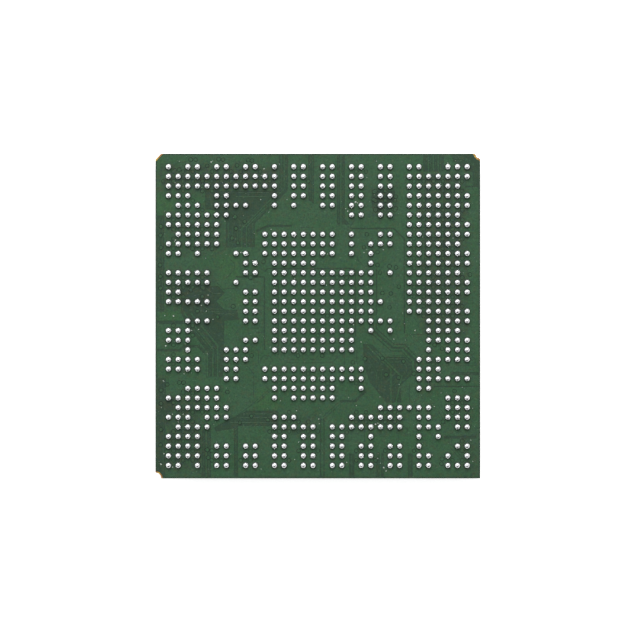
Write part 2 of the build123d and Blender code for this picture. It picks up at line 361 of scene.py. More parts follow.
def soft_fields(x, y, fields, softness):
    """How strongly each place lies in any of several soft-edged boxes."""
    share = None
    for left, right, far, near, strength in fields:
        low, high = on_grid(left, near) / MM, on_grid(right, far) / MM
        inside = (x - low.x).smaller(high.x - x).smaller(y - low.y).smaller(high.y - y)
        field = inside.above(0.0, softness) * strength
        share = share.larger(field) if share else field
    return share


def mask_finish(name, plain, cloudy, broken, gloss, bright=None):
    """The lacquer over one ground: its usual, cloudy and broken-field colours, and its bright one."""
    bright = bright or plain
    finish = finish_of(name)
    place = finish.millimetres()
    x, y, _ = finish.along(place)
    clouds = finish.noise(place, 0.55, 3.0).above(0.5, 0.22)
    speckle = finish.noise(place, 9.0, 3.0, 0.7).above(0.54, 0.2)
    pinholes = finish.noise(place, 4.6, 2.0, 0.6).above(0.66, 0.05)
    share = soft_fields(x, y, BROKEN_FIELDS, 0.9)
    thin = soft_fields(x, y, BRIGHT_FIELDS, 0.35)
    lumps = finish.noise(place, 1.7, 4.0, 0.7).above(0.5, 0.2)
    colour = finish.blend(clouds * 0.6, plain, cloudy)
    colour = finish.blend(thin * 0.8, colour, bright)
    colour = finish.blend(share * (0.3 + lumps * 0.7), colour, broken)
    warm = finish.noise(place, 2.7, 4.0, 0.75).above(0.56, 0.12)
    cool = finish.noise(place, 3.4, 4.0, 0.75).above(0.57, 0.12)
    colour = finish.blend(warm * (share * 0.25 + 0.3), colour, paint(72, 74, 50))
    colour = finish.blend(cool * (share * 0.25 + 0.3), colour, paint(42, 68, 72))
    colour = finish.blend(speckle * 0.5, colour, paint(30, 48, 36))
    colour = finish.blend(pinholes * 0.12, colour, paint(120, 150, 122))
    skin = finish.noise(place, 3.2, 2.0) * 0.7 + finish.noise(place, 14.0, 1.0) * 0.3
    return finish.surface(
        Base_Color=colour,
        Roughness=gloss + finish.noise(place, 1.1, 3.0) * 0.16,
        Specular_IOR_Level=0.2,
        Normal=finish.bump(skin, 0.35, 0.02 * MM),
    )


mask_over_copper = mask_finish(
    "mask_over_copper", paint(49, 87, 57), paint(57, 90, 66), paint(51, 64, 50), 0.34, paint(54, 95, 53)
)
mask_over_laminate = mask_finish(
    "mask_over_laminate", paint(42, 67, 48), paint(47, 74, 57), paint(45, 59, 47), 0.4
)
mask_over_track = mask_finish(
    "mask_over_track", paint(47, 79, 54), paint(53, 84, 62), paint(50, 65, 50), 0.37
)
print("three lacquers: over copper, over laminate, over a fine track")

# %% [markdown]
# ## The lacquer film
#
# The film follows what lies under it: it stands a little higher over the copper, with a soft shoulder at
# each edge. The pattern could be drawn again here, but then two drawings would have to agree. Instead the
# film borrows the copper's own mesh from the CAD model. A copy of the copper, with its top lifted to the
# top of the lacquer, makes the high parts, and a copy of the CAD mask, with its face lowered, makes the low
# parts.

# %% Film from the copper's outline
FILM_STEP = 0.02 * MM
SHOULDER = 0.018 * MM


def borrow(node, name):
    """A copy of a CAD node's mesh as a new piece, with its corners merged."""
    piece = bpy.data.objects.new(name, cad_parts[node].data.copy())
    bpy.context.scene.collection.objects.link(piece)
    piece.data.materials.clear()
    select_where(piece, points=lambda place: True)
    bpy.ops.mesh.remove_doubles(threshold=TINY)
    bpy.ops.mesh.select_all(action="SELECT")
    bpy.ops.mesh.dissolve_limited(angle_limit=math.radians(1))
    close_edit()
    return piece


def high(place, level):
    """Whether a point lies at a level or above it."""
    return place.z > level - 2 * TINY


film_over_copper = borrow("ball_side_copper", "film_over_copper")
copper_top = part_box("ball_side_copper")[1].z
select_where(film_over_copper, points=lambda place: high(place, copper_top))
bpy.ops.transform.translate(value=(0, 0, FILM_TOP - copper_top))
close_edit()
print("high film", count(film_over_copper), "triangles")

film_over_laminate = borrow("ball_side_mask", "film_over_laminate")
select_where(film_over_laminate, points=lambda place: high(place, FILM_TOP))
bpy.ops.transform.translate(value=(0, 0, -FILM_STEP))
close_edit()
print("low film", count(film_over_laminate), "triangles")

# %% Soft shoulders along the copper's edges
take(film_over_copper)
shoulder = film_over_copper.modifiers.new("shoulder", "BEVEL")
shoulder.width = SHOULDER
shoulder.segments = 2
shoulder.limit_method = "ANGLE"
shoulder.angle_limit = math.radians(60)
shoulder.use_clamp_overlap = True
bpy.ops.object.modifier_apply(modifier="shoulder")
bpy.ops.object.shade_flat()
film_over_copper.data.materials.append(mask_over_copper)
film_over_laminate.data.materials.append(mask_over_laminate)
solder_mask_film = join([film_over_copper, film_over_laminate], "solder_mask_film")
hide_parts("ball_side_mask")
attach(solder_mask_film, "root")
print("film", count(solder_mask_film), "triangles")

# %% [markdown]
# ## Solder balls
#
# A solder ball is melted onto its pad, so surface tension makes it a sphere that is cut where it meets the
# pad. Its skin is bright but not a mirror: it froze with a fine grain, and handling dulled its top. A spun
# profile or a cut sphere both give the shape; the cut sphere is quicker. There are 640 of them, so one is
# modelled with a few dozen faces, shaded smooth, and copied to each place. The places are read from the
# tips of the CAD balls.

# %% Finish of the solder
solder = finish_of("solder_bright")
place = solder.millimetres()
grain = solder.noise(place, 14.0, 3.0, 0.65)
dull = solder.noise(place, 2.3, 2.0).above(0.5, 0.3)
solder_bright = solder.surface(
    Base_Color=solder.blend(dull * 0.5, paint(241, 242, 243), paint(219, 222, 226)),
    Metallic=0.95 - dull * 0.1,
    Roughness=0.08 + grain * 0.1 + dull * 0.06,
    Normal=solder.bump(grain, 0.03, 0.01 * MM),
)

# %% One ball
BALL_RADIUS = 0.258 * MM
BALL_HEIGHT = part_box("ball_row_a")[1].z - FILM_TOP
clear_bench()
bpy.ops.mesh.primitive_uv_sphere_add(
    segments=14, ring_count=8, radius=BALL_RADIUS, location=(0, 0, BALL_HEIGHT - BALL_RADIUS)
)
one_ball = settle(bpy.context.object)
select_where(one_ball, points=lambda place: True)
bpy.ops.mesh.bisect(
    plane_co=(0, 0, 0), plane_no=(0, 0, 1), use_fill=True, clear_inner=True, threshold=TINY
)
close_edit()
take(one_ball)
bpy.ops.object.shade_smooth_by_angle(angle=math.radians(50))
one_ball.data.materials.append(solder_bright)
print("one ball:", len(one_ball.data.polygons), "faces,", count(one_ball), "triangles")

# %% A ball at each tip of the CAD rows
shake = random.Random(11)


def tips_of(node):
    """The places of the highest points of a CAD node, each once."""
    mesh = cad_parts[node].data
    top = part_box(node)[1].z
    found = {(round(v.co.x, 6), round(v.co.y, 6)) for v in mesh.vertices if v.co.z > top - TINY}
    return sorted(found)


row_nodes = sorted(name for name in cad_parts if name.startswith("ball_row_"))
ball_places = []
for node in row_nodes:
    balls = []
    for x, y in tips_of(node):
        ball_places.append(Vector((x, y, FILM_TOP)))
        turn = shake.uniform(0, math.tau)
        balls.append(copy_at(one_ball, (x, y, FILM_TOP), turn, shake.uniform(0.975, 1.0)))
    row = join(balls, node.replace("ball_row", "solder_balls"))
    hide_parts(node)
    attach(row, "root")
drop(one_ball)
print(len(ball_places), "balls in", len(row_nodes), "rows")

# %% [markdown]
# ## Openings round the pads
#
# The lacquer stops just short of each ball, so a narrow dark ring shows round its foot, and the ball's
# contact shadow darkens it further. Cutting 640 holes through the film would be slow and would spoil its
# clean mesh.
# A thin dark collar that lies on the film reads the same. Its dark colour stands partly for the opening and
# partly for that shadow, as painted shade. A disc is drawn up, inset to leave a flat land, and its middle
# sinks under the ball. Where the film is low, the collar stands on the bare field as the pad's own copper
# land does.

# %% Dark finish of the openings, partly painted shade
opening_shade = finish_of("opening_and_painted_shade")
place = opening_shade.millimetres()
ring_mottle = opening_shade.noise(place, 8.0, 3.0, 0.6)
# Dark green-black: partly the opening's own colour, partly painted shade for the ball's contact shadow
opening_and_painted_shade = opening_shade.surface(
    Base_Color=opening_shade.blend(ring_mottle.above(0.5, 0.3), paint(22, 34, 28), paint(38, 54, 42)),
    Roughness=0.45 + ring_mottle * 0.2,
    Specular_IOR_Level=0.15,
    Normal=opening_shade.bump(ring_mottle, 0.3, 0.01 * MM),
)

# %% One collar, and its copies
COLLAR_OUTER = 0.294 * MM
COLLAR_LAND = 0.045 * MM
COLLAR_PROUD = 0.002 * MM
clear_bench()
bpy.ops.mesh.primitive_circle_add(vertices=18, radius=COLLAR_OUTER, fill_type="NGON")
one_collar = settle(bpy.context.object)
select_where(one_collar, faces=lambda face: True)
bpy.ops.transform.translate(value=(0, 0, -FILM_STEP))
bpy.ops.mesh.extrude_region_move(TRANSFORM_OT_translate={"value": (0, 0, FILM_STEP + COLLAR_PROUD)})
bpy.ops.mesh.inset(thickness=COLLAR_LAND, use_even_offset=True)
bpy.ops.mesh.inset(thickness=COLLAR_LAND / 3, depth=-FILM_STEP / 2)
close_edit()
select_where(one_collar, faces=lambda face: face.normal.z < -0.9)
bpy.ops.mesh.delete(type="FACE")
close_edit()
# The collars carry the dark finish: partly the opening, partly a painted contact shadow round each ball
one_collar.data.materials.append(opening_and_painted_shade)
collars = [copy_at(one_collar, place) for place in ball_places]
print("one collar:", len(one_collar.data.polygons), "faces")
collars_with_painted_shade = join(collars, "collars_with_painted_shade")
drop(one_collar)
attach(collars_with_painted_shade, "root")
print("collars", count(collars_with_painted_shade), "triangles")

# %% [markdown]
# ## Plated holes
#
# A via is a plated hole that carries a signal from one copper layer to the next. Under the lacquer it shows
# as a faint ring, where the copper leaves a gap around it, with a shallow dome of filler in the middle.
# Some stand alone in the planes. Many more sit in the crowded fields, each midway between the balls around
# it. One via is made from a disc by insets, with a dark rim round a green middle, and copied to every
# place.

# %% One via
VIA_RADIUS = 0.2 * MM
VIA_GROOVE = 0.05 * MM
VIA_PROUD = 0.0015 * MM
VIA_SHOULDER = 0.04 * MM
VIA_DIMPLE = 0.06 * MM
VIA_LIP = 0.001 * MM
VIA_DOME = 0.003 * MM
VIA_SINK = 0.002 * MM
clear_bench()
bpy.ops.mesh.primitive_circle_add(vertices=16, radius=VIA_RADIUS, fill_type="NGON")
one_via = settle(bpy.context.object)
select_where(one_via, faces=lambda face: True)
bpy.ops.transform.translate(value=(0, 0, VIA_PROUD))
bpy.ops.mesh.inset(thickness=VIA_GROOVE / 2)
bpy.ops.mesh.inset(thickness=VIA_GROOVE / 2, depth=VIA_LIP)
bpy.ops.mesh.inset(thickness=VIA_SHOULDER, depth=VIA_DOME)
bpy.ops.mesh.inset(thickness=VIA_DIMPLE, depth=-VIA_SINK)
close_edit()
one_via.data.materials.append(opening_and_painted_shade)
one_via.data.materials.append(mask_over_copper)
for face in one_via.data.polygons:
    face.material_index = 0 if face.center.xy.length > VIA_RADIUS - VIA_GROOVE else 1
    face.use_smooth = True
print("one via:", len(one_via.data.polygons), "faces")

# %% Where the vias are
# Vias that stand alone, by ball column and row
LONE_VIAS = [
    (3.3, 0.25), (3.8, 0.25), (6.2, 0.2), (6.65, 0.25), (9.25, 0.3), (9.65, 0.35), (0.42, 1.9),
    (0.45, 2.5), (1.65, 1.35), (2.1, 1.3), (5.0, 0.9), (8.1, 0.85), (10.85, 10.85), (21.6, 8.0),
    (21.3, 9.35), (22.7, 9.85), (22.7, 11.2), (22.95, 12.0), (23.95, 11.35), (24.62, 11.45), (24.92, 13.45),
    (23.2, 14.1), (24.1, 14.15), (23.95, 15.6), (14.45, 20.62), (16.95, 20.62), (20.15, 21.3), (21.4, 20.95),
    (32.35, 3.6), (32.45, 9.8), (32.3, 12.2), (9.62, 20.6), (7.7, 15.5), (2.1, 23.4), (2.55, 23.42),
    (0.85, 23.6), (2.5, 24.35), (7.1, 24.4), (29.4, 31.35), (29.35, 31.85), (30.7, 24.3), (28.65, 19.5),
    (29.4, 19.9), (7.9, 6.2), (8.0, 7.4), (8.9, 6.7), (7.6, 8.4), (8.2, 8.9), (23.6, 22.6),
    (24.9, 22.9), (25.4, 21.2), (23.2, 20.9), (4.0, 16.0), (6.1, 16.6), (9.6, 26.9), (11.3, 27.3),
    (8.4, 27.6), (5.0, 30.4), (5.1, 31.2), (0.2, 7.2), (0.15, 8.1), (0.2, 9.4), (0.1, 11.2),
    (0.15, 12.4), (0.15, 13.6), (0.2, 24.2), (0.2, 25.6), (0.2, 28.3), (0.15, 29.9), (19.6, 27.2),
    (19.5, 28.6), (4.6, 13.6), (3.3, 13.8), (22.35, 3.6), (22.3, 4.4), (22.5, 5.4), (24.6, 5.3),
    (24.6, 4.1),
]
# Crowded fields with a via between many balls: first and last column, first and last row, and their share
CROWDED_FIELDS = [
    (1, 12, 1, 3, 0.85), (1, 6, 3, 10, 0.6), (22, 25, 3, 6, 0.9), (26, 32, 2, 17, 0.72),
    (1, 5, 12, 15, 0.7), (1, 6, 24, 28, 0.7), (1, 4, 28, 32, 0.85), (11, 17, 26, 29, 0.5),
    (19, 25, 26, 28, 0.6), (29, 32, 25, 28, 0.5), (26, 29, 20, 23, 0.4), (13, 21, 12, 19, 0.12),
    (14, 25, 1, 3, 0.3), (11, 21, 22, 24, 0.25), (5, 28, 30, 32, 0.3), (1, 4, 17, 22, 0.35),
    (9, 10, 12, 17, 0.4), (29, 32, 29, 32, 0.6),
]
pick = random.Random(5)
ball_keys = {(round(p.x / PITCH + GRID_MIDDLE), round(GRID_MIDDLE - p.y / PITCH)) for p in ball_places}
via_places = list(LONE_VIAS)
for first_column, last_column, first_row, last_row, share in CROWDED_FIELDS:
    for row in range(first_row, last_row):
        for column in range(first_column, last_column):
            around = [(column + i, row + j) in ball_keys for i in (0, 1) for j in (0, 1)]
            middle = (column + 0.5, row + 0.5)
            if sum(around) >= 2 and pick.random() < share and middle not in via_places:
                via_places.append(middle)


def clear_of_balls(spot, reach):
    """Whether a thing of some reach stays clear of every ball's collar."""
    return all((spot - ball).length > COLLAR_OUTER + reach for ball in ball_places)


vias = [
    copy_at(one_via, on_grid(column, row), pick.uniform(0, math.tau), pick.uniform(0.88, 1.0))
    for column, row in via_places
    if clear_of_balls(on_grid(column, row), VIA_RADIUS * 0.9)
]
print(len(vias), "of", len(via_places), "vias fit")
plated_holes = join(vias, "plated_holes")
drop(one_via)
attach(plated_holes, "root")
print("vias", count(plated_holes), "triangles")

# %% [markdown]
# ## Fine tracks and fine gaps
#
# The widest tracks and gaps are in the copper's outline already. Finer ones only show as faint lines: a
# track in a bare field as a low ridge in the lacquer, and a gap in a plane as a thin dark line. Both are
# swept along their route. A single point is extruded from stop to stop, the wire is made a curve, and the
# curve's round bevel gives it a section, which is then pressed flat. Extruding a flat strip would narrow it
# at a bend.

# %% Sweeping tool
def sweep(name, routes, width, base, rise, material):
    """Flat ridges of one width along several routes, from a base height up by a rise."""
    clear_bench()
    for number, route in enumerate(routes):
        stops = [on_grid(column, row) for column, row in route]
        if number == 0:
            bpy.ops.mesh.primitive_plane_add(size=width, location=stops[0])
            settle(bpy.context.object)
            bpy.ops.object.mode_set(mode="EDIT")
            bpy.ops.mesh.select_mode(type="VERT")
            bpy.ops.mesh.select_all(action="SELECT")
        else:
            bpy.ops.mesh.select_all(action="DESELECT")
            bpy.ops.mesh.primitive_plane_add(size=width, location=stops[0])
        bpy.ops.mesh.merge(type="CENTER")
        for here, there in zip(stops, stops[1:]):
            bpy.ops.mesh.extrude_region_move(TRANSFORM_OT_translate={"value": there - here})
    close_edit()
    bpy.ops.object.convert(target="CURVE")
    ridge = bpy.context.object
    ridge.data.dimensions = "3D"
    ridge.data.bevel_depth = width / 2
    ridge.data.bevel_resolution = 1
    ridge.data.use_fill_caps = True
    bpy.ops.object.convert(target="MESH")
    ridge = bpy.context.object
    select_where(ridge, points=lambda place: True)
    bpy.ops.transform.resize(value=(1, 1, rise / width), center_override=(0, 0, FILM_TOP))
    bpy.ops.transform.translate(value=(0, 0, base + rise / 2 - FILM_TOP))
    close_edit()
    bpy.ops.object.shade_smooth_by_angle(angle=math.radians(60))
    ridge.name = ridge.data.name = name
    ridge.data.materials.clear()
    ridge.data.materials.append(material)
    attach(ridge, "root")
    print(name, len(routes), "routes,", count(ridge), "triangles")


# %% Routes of the fine tracks
# Tracks in the bare fields, each as its stops in ball columns and rows
FINE_TRACKS = [
    [(11.6, 4.4), (9.35, 6.65), (9.35, 9.2)],
    [(12.3, 4.2), (11.3, 5.2), (9.75, 6.75), (9.75, 9.2)],
    [(7.2, 6.8), (7.2, 9.2)],
    [(7.6, 7.2), (7.6, 9.2)],
    [(8.15, 7.6), (8.15, 9.2)],
    [(7.3, 5.6), (8.4, 6.7), (8.4, 9.2)],
    [(8.2, 3.7), (11.4, 3.7)],
    [(8.0, 4.1), (11.2, 4.1)],
    [(12.55, -0.1), (12.55, 3.2)],
    [(12.85, -0.1), (12.85, 3.2), (11.9, 4.1)],
    [(13.2, -0.1), (13.2, 3.3), (12.4, 4.1)],
    [(15.7, -0.1), (15.7, 4.3)],
    [(15.95, -0.1), (15.95, 4.5)],
    [(18.65, -0.1), (18.65, 6.8)],
    [(19.12, -0.1), (19.12, 6.5)],
    [(27.6, -0.1), (27.6, 1.4)],
    [(28.25, -0.1), (28.25, 1.4)],
    [(28.75, -0.1), (28.75, 1.4)],
    [(29.25, -0.1), (29.25, 1.4)],
    [(30.5, 0.0), (31.5, 0.0), (32.55, 0.5), (32.95, 1.4), (32.95, 2.9)],
    [(30.7, 0.15), (31.5, 0.2), (32.4, 0.6), (32.8, 1.5), (32.8, 2.9)],
    [(31.0, 0.4), (31.6, 0.4)],
    [(3.6, 13.5), (4.7, 13.5), (5.6, 14.2), (6.4, 14.2)],
    [(2.6, 14.3), (4.4, 16.1), (6.4, 16.1)],
    [(3.6, 14.4), (5.0, 15.8), (6.6, 15.8)],
    [(5.9, 16.3), (7.8, 16.3)],
    [(3.6, 17.9), (5.9, 20.6), (5.9, 22.7)],
    [(4.4, 18.2), (6.3, 20.4), (6.3, 22.7)],
    [(5.3, 20.6), (5.3, 22.7)],
    [(0.0, 6.3), (0.0, 15.8)],
    [(0.35, 6.3), (0.35, 15.8)],
    [(-0.1, 23.2), (-0.1, 32.6)],
    [(0.45, 26.9), (0.45, 32.6)],
    [(4.6, 28.6), (4.6, 32.9)],
    [(5.2, 28.6), (5.2, 32.9)],
    [(8.0, 28.2), (8.0, 32.9)],
    [(22.75, 30.9), (22.75, 32.9)],
    [(23.2, 30.9), (23.2, 32.9)],
    [(26.1, 31.0), (26.1, 32.9)],
    [(20.0, 31.0), (20.0, 32.9)],
    [(16.85, 27.5), (16.85, 32.9)],
    [(17.08, 27.5), (17.08, 32.9)],
    [(8.4, 27.1), (12.2, 27.1)],
    [(9.0, 26.7), (12.2, 26.7)],
    [(7.4, 27.6), (12.2, 27.6)],
    [(21.6, 20.2), (23.1, 21.7), (23.1, 24.4)],
    [(22.6, 19.9), (24.6, 21.9), (24.6, 22.4), (23.5, 23.5)],
    [(23.6, 20.95), (25.5, 20.95), (26.1, 21.6), (26.1, 22.4), (24.8, 23.7)],
    [(23.9, 21.3), (25.3, 21.3), (25.7, 21.7), (25.7, 22.3), (23.9, 24.1)],
    [(24.9, 23.9), (24.9, 25.3)],
    [(24.35, 24.4), (24.35, 25.3)],
    [(21.7, 21.0), (22.6, 22.4), (22.6, 23.9)],
]
# Gaps in the planes
FINE_GAPS = [
    [(20.3, 6.6), (19.9, 7.1), (19.9, 7.4)],
    [(21.0, 9.95), (20.6, 10.3), (20.6, 10.6), (21.2, 11.25), (21.75, 11.35)],
    [(6.95, 7.2), (6.95, 9.35), (8.0, 9.35)],
    [(9.3, 19.3), (10.35, 20.15), (10.35, 21.5)],
    [(9.2, 21.7), (9.85, 22.5), (9.85, 25.0)],
    [(9.85, 12.5), (9.85, 13.65)],
    [(7.0, 13.65), (9.8, 13.65)],
    [(9.2, 17.75), (10.9, 17.75)],
    [(9.5, 15.45), (10.95, 15.45)],
    [(9.9, 18.2), (10.9, 18.2)],
    [(7.4, 10.6), (7.85, 11.1), (7.85, 11.7), (6.95, 12.6)],
    [(10.55, 21.4), (10.55, 20.95), (10.9, 20.6), (11.4, 20.6), (11.75, 20.95), (11.75, 21.3)],
    [(13.05, 20.4), (13.05, 21.35), (18.0, 21.35), (18.55, 20.75), (18.55, 20.4)],
    [(15.3, 20.45), (15.85, 21.05), (16.15, 21.05), (16.6, 20.5)],
    [(19.28, 20.3), (19.28, 22.3)],
    [(20.55, 20.1), (20.55, 21.5)],
    [(18.75, 25.7), (17.15, 27.2)],
    [(18.6, 25.5), (17.0, 27.0)],
    [(11.5, 24.05), (9.4, 25.9), (7.9, 27.0)],
    [(11.6, 24.25), (10.2, 25.5)],
    [(21.35, 28.3), (21.35, 31.2)],
    [(15.5, 28.3), (15.5, 30.8)],
    [(25.12, 23.5), (25.12, 25.5)],
    [(26.02, 23.5), (26.02, 25.5)],
    [(31.0, 21.67), (33.1, 21.67)],
    [(20.2, 25.6), (20.4, 25.9), (20.4, 26.5)],
    [(32.2, 20.3), (32.85, 21.0), (32.85, 21.6)],
    [(32.0, 20.5), (32.6, 21.15)],
    [(29.0, 26.3), (29.8, 27.7)],
    [(29.3, 26.2), (30.0, 27.4)],
    [(30.3, 30.2), (31.5, 31.6)],
    [(30.5, 30.0), (31.6, 31.3)],
    [(24.0, 20.6), (25.5, 20.6)],
    [(30.35, -0.1), (30.7, 0.35)],
    [(5.0, 5.2), (5.6, 5.5)],
    [(3.2, 19.6), (3.9, 19.6), (4.9, 20.6), (4.9, 22.9)],
    [(14.6, 7.3), (16.0, 7.3)],
    [(25.5, 16.5), (25.5, 18.3)],
    [(26.0, 18.4), (27.4, 18.4)],
    [(27.6, 1.6), (27.6, 11.5)],
    [(29.6, 11.0), (29.6, 13.5)],
    [(24.6, 27.4), (25.8, 28.2), (25.8, 28.6)],
    [(4.2, 27.2), (5.5, 28.3)],
    [(5.9, 12.9), (6.9, 13.9)],
]
TRACK_WIDTH = 0.07 * MM
TRACK_SUNK = 0.004 * MM
TRACK_RISE = 0.016 * MM
GAP_WIDTH = 0.055 * MM
GAP_SUNK = 0.002 * MM
GAP_RISE = 0.004 * MM
LOW_FILM = FILM_TOP - FILM_STEP
sweep("fine_tracks", FINE_TRACKS, TRACK_WIDTH, LOW_FILM - TRACK_SUNK, TRACK_RISE, mask_over_track)
sweep("fine_gaps", FINE_GAPS, GAP_WIDTH, FILM_TOP - GAP_SUNK, GAP_RISE, mask_over_laminate)

# %% [markdown]
# ## Dust
#
# A used chip is never clean. Pale specks of dust and flux lie on the lacquer, some against a ball. A speck
# is an icosphere with its points shaken, squashed and stretched; one shape, turned and sized at random from
# a fixed seed, is enough. The larger specks are put at listed places, and fine ones are strewn between.

# %% Finish of the dust
powder = finish_of("pale_dust")
place = powder.millimetres()
clumps = powder.noise(place, 20.0, 3.0, 0.6)
pale_dust = powder.surface(
    Base_Color=powder.blend(clumps.above(0.5, 0.3), paint(138, 150, 138), paint(186, 194, 186)),
    Roughness=0.7 + clumps * 0.3,
    Normal=powder.bump(clumps, 0.5, 0.01 * MM),
)

# %% Specks by place
# Column, row and width in millimetres
SPECKS = [
    (2.1, 0.42, 0.14), (5.4, 0.5, 0.2), (5.55, 0.4, 0.1), (10.9, 1.2, 0.16), (1.67, 2.65, 0.11),
    (2.5, 3.0, 0.07), (4.45, 3.15, 0.09), (6.6, 2.65, 0.07), (1.7, 8.6, 0.18), (1.6, 8.75, 0.1),
    (6.85, 6.65, 0.11), (10.55, 4.4, 0.12), (21.6, 2.1, 0.12), (20.42, 4.65, 0.24), (20.6, 4.75, 0.14),
    (19.6, 5.6, 0.16), (19.4, 5.35, 0.1), (11.65, 7.5, 0.13), (9.9, 7.95, 0.09), (8.5, 9.9, 0.15),
    (21.3, 9.9, 0.12), (21.6, 9.6, 0.08), (4.85, 10.5, 0.09), (5.1, 14.35, 0.12), (4.4, 15.4, 0.12),
    (4.9, 16.0, 0.13), (5.6, 16.85, 0.11), (4.1, 17.9, 0.12), (23.3, 9.6, 0.13), (28.4, 30.95, 0.12),
    (22.7, 31.3, 0.12), (23.35, 32.25, 0.22), (23.6, 32.6, 0.16), (14.5, 29.6, 0.15), (19.5, 31.7, 0.14),
    (1.4, 32.2, 0.13), (7.45, 30.85, 0.11), (22.5, 27.75, 0.2), (22.75, 27.65, 0.16), (31.2, 26.6, 0.13),
    (26.6, 18.0, 0.15), (24.4, 18.9, 0.13), (14.1, 12.6, 0.12), (17.4, 13.3, 0.12), (12.0, 13.5, 0.1),
    (20.2, 17.4, 0.14), (11.55, 19.75, 0.12), (13.3, 18.8, 0.16), (21.0, 19.2, 0.12), (25.3, 16.2, 0.09),
    (25.5, 17.3, 0.09), (27.4, 8.3, 0.11), (26.2, 8.6, 0.08), (30.55, 8.4, 0.13), (31.6, 12.0, 0.08),
    (0.45, 23.25, 0.14), (1.5, 16.5, 0.2), (0.6, 16.45, 0.12), (0.7, 19.6, 0.2), (2.6, 22.5, 0.14),
    (5.0, 20.4, 0.1), (7.0, 24.0, 0.1), (3.4, 22.4, 0.09), (12.6, 25.3, 0.14), (14.3, 26.35, 0.1),
    (16.6, 27.2, 0.12), (16.65, 27.7, 0.09), (22.95, 24.9, 0.1), (24.95, 23.6, 0.11), (29.3, 24.5, 0.1),
    (31.5, 23.9, 0.1), (32.6, 26.1, 0.11), (28.6, 25.9, 0.12), (19.7, 25.0, 0.08), (20.5, 25.8, 0.12),
    (14.1, 31.4, 0.1), (10.6, 32.4, 0.12), (0.5, 30.8, 0.16), (0.2, 31.9, 0.22), (0.25, 26.0, 0.1),
    (32.6, 31.6, 0.12), (32.4, 29.4, 0.12), (6.0, 29.6, 0.07), (29.2, 22.4, 0.14), (12.5, 0.7, 0.09),
    (18.95, 4.6, 0.07), (13.3, 4.4, 0.1), (11.4, 5.7, 0.1), (3.9, 24.0, 0.1), (9.8, 15.6, 0.08),
    (22.6, 0.4, 0.09), (31.2, 2.6, 0.09), (23.0, 31.8, 0.09), (30.0, 0.62, 0.16), (10.65, 1.9, 0.14),
    (3.38, 18.0, 0.16), (9.75, 10.72, 0.14), (17.5, 10.05, 0.12), (27.0, 11.0, 0.06), (2.0, 27.5, 0.1),
    (1.4, 26.7, 0.14), (2.5, 26.7, 0.12),
]
clear_bench()
bpy.ops.mesh.primitive_ico_sphere_add(subdivisions=1, radius=0.5)
speck = settle(bpy.context.object)
grit = random.Random(23)
for point in speck.data.vertices:
    point.co *= grit.uniform(0.7, 1.0)
speck.data.materials.append(pale_dust)
SPECK_THICKNESS = 0.25


def speck_at(column, row, width):
    """A speck of a width, flattened and stretched at random, half sunk in the film."""
    piece = copy_at(speck, (0, 0, 0), grit.uniform(0, math.tau), width)
    piece.scale = (1.0, grit.uniform(0.55, 0.9), SPECK_THICKNESS)
    settle(piece)
    lay = Matrix.Translation(on_grid(column, row)) @ Matrix.Rotation(grit.uniform(0, math.tau), 4, "Z")
    piece.data.transform(lay)
    return piece


specks = [speck_at(column, row, width * MM) for column, row, width in SPECKS]
FINE_SPECKS = 260
STREWN_FROM, STREWN_TO = -0.1, 33.1
while len(specks) < len(SPECKS) + FINE_SPECKS:
    column, row = grit.uniform(STREWN_FROM, STREWN_TO), grit.uniform(STREWN_FROM, STREWN_TO)
    if clear_of_balls(on_grid(column, row), 0.0):
        specks.append(speck_at(column, row, grit.uniform(0.025, 0.06) * MM))
dust = join(specks, "dust_specks")
drop(speck)
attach(dust, "root")
print("dust", count(dust), "triangles")

# %% [markdown]
# ## The mould cap
#
# The cap is epoxy with a glass filler, pressed round the chip in a steel mould. Its sides lean, so that it
# leaves the mould, its corners are cut, and every edge has a small radius that a CAD solid leaves out. A
# square is shaped as the mould would be: its corners are cut, an inset with depth draws the leaning sides,
# the edges are rounded, and the round mark of the first ball's corner is sunk with a cylinder.

# %% Finish of the cap
resin = finish_of("mould_resin")
place = resin.millimetres()
grains = resin.noise(place, 11.0, 4.0, 0.65)
flow = resin.noise(place, 0.16, 2.0)
scuffs = resin.noise(place, 2.6, 5.0, 0.75).above(0.66, 0.08)
black = resin.blend(flow.above(0.5, 0.3), paint(38, 38, 40), paint(46, 46, 47))
mould_resin = resin.surface(
    Base_Color=resin.blend(scuffs * 0.25, black, paint(84, 84, 82)),
    Roughness=0.52 + grains * 0.2 - scuffs * 0.08,
    Specular_IOR_Level=0.4,
    Normal=resin.bump(grains + flow * 0.4, 0.5, 0.02 * MM),
)

# %% Cap from a square
cap_low, cap_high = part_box("mould_cap")
CAP_CORNER = 1.6 * MM
CAP_DRAFT = math.radians(30)
CAP_EDGE = 0.1 * MM
NEAR = 0.01 * MM
cap_side = cap_high.x - cap_low.x
cap_rise = cap_high.z - cap_low.z
face_side = cap_side - 2 * cap_rise * math.tan(CAP_DRAFT)
clear_bench()
bpy.ops.mesh.primitive_plane_add(size=cap_side, location=(0, 0, cap_high.z))
cap = settle(bpy.context.object)
cap.name = cap.data.name = "mould_cap_body"
select_where(cap, points=lambda place: True)
bpy.ops.mesh.bevel(offset=CAP_CORNER, segments=1, affect="VERTICES")
bpy.ops.mesh.select_all(action="SELECT")
bpy.ops.mesh.flip_normals()
bpy.ops.mesh.inset(thickness=cap_rise * math.tan(CAP_DRAFT), depth=cap_rise, use_even_offset=True)
close_edit()
select_where(cap, points=lambda place: place.z > cap_high.z - NEAR)
bpy.ops.mesh.edge_face_add()
bpy.ops.mesh.select_all(action="SELECT")
bpy.ops.mesh.normals_make_consistent(inside=False)
close_edit()
select_where(cap, edges=lambda start, end: min(start.z, end.z) < cap_low.z + NEAR)
bpy.ops.mesh.bevel(offset=CAP_EDGE, segments=3)
close_edit()
print("cap", [round(v / MM, 3) for v in cap.dimensions], "mm")
print("outer face", round(face_side / MM, 2), "mm wide")

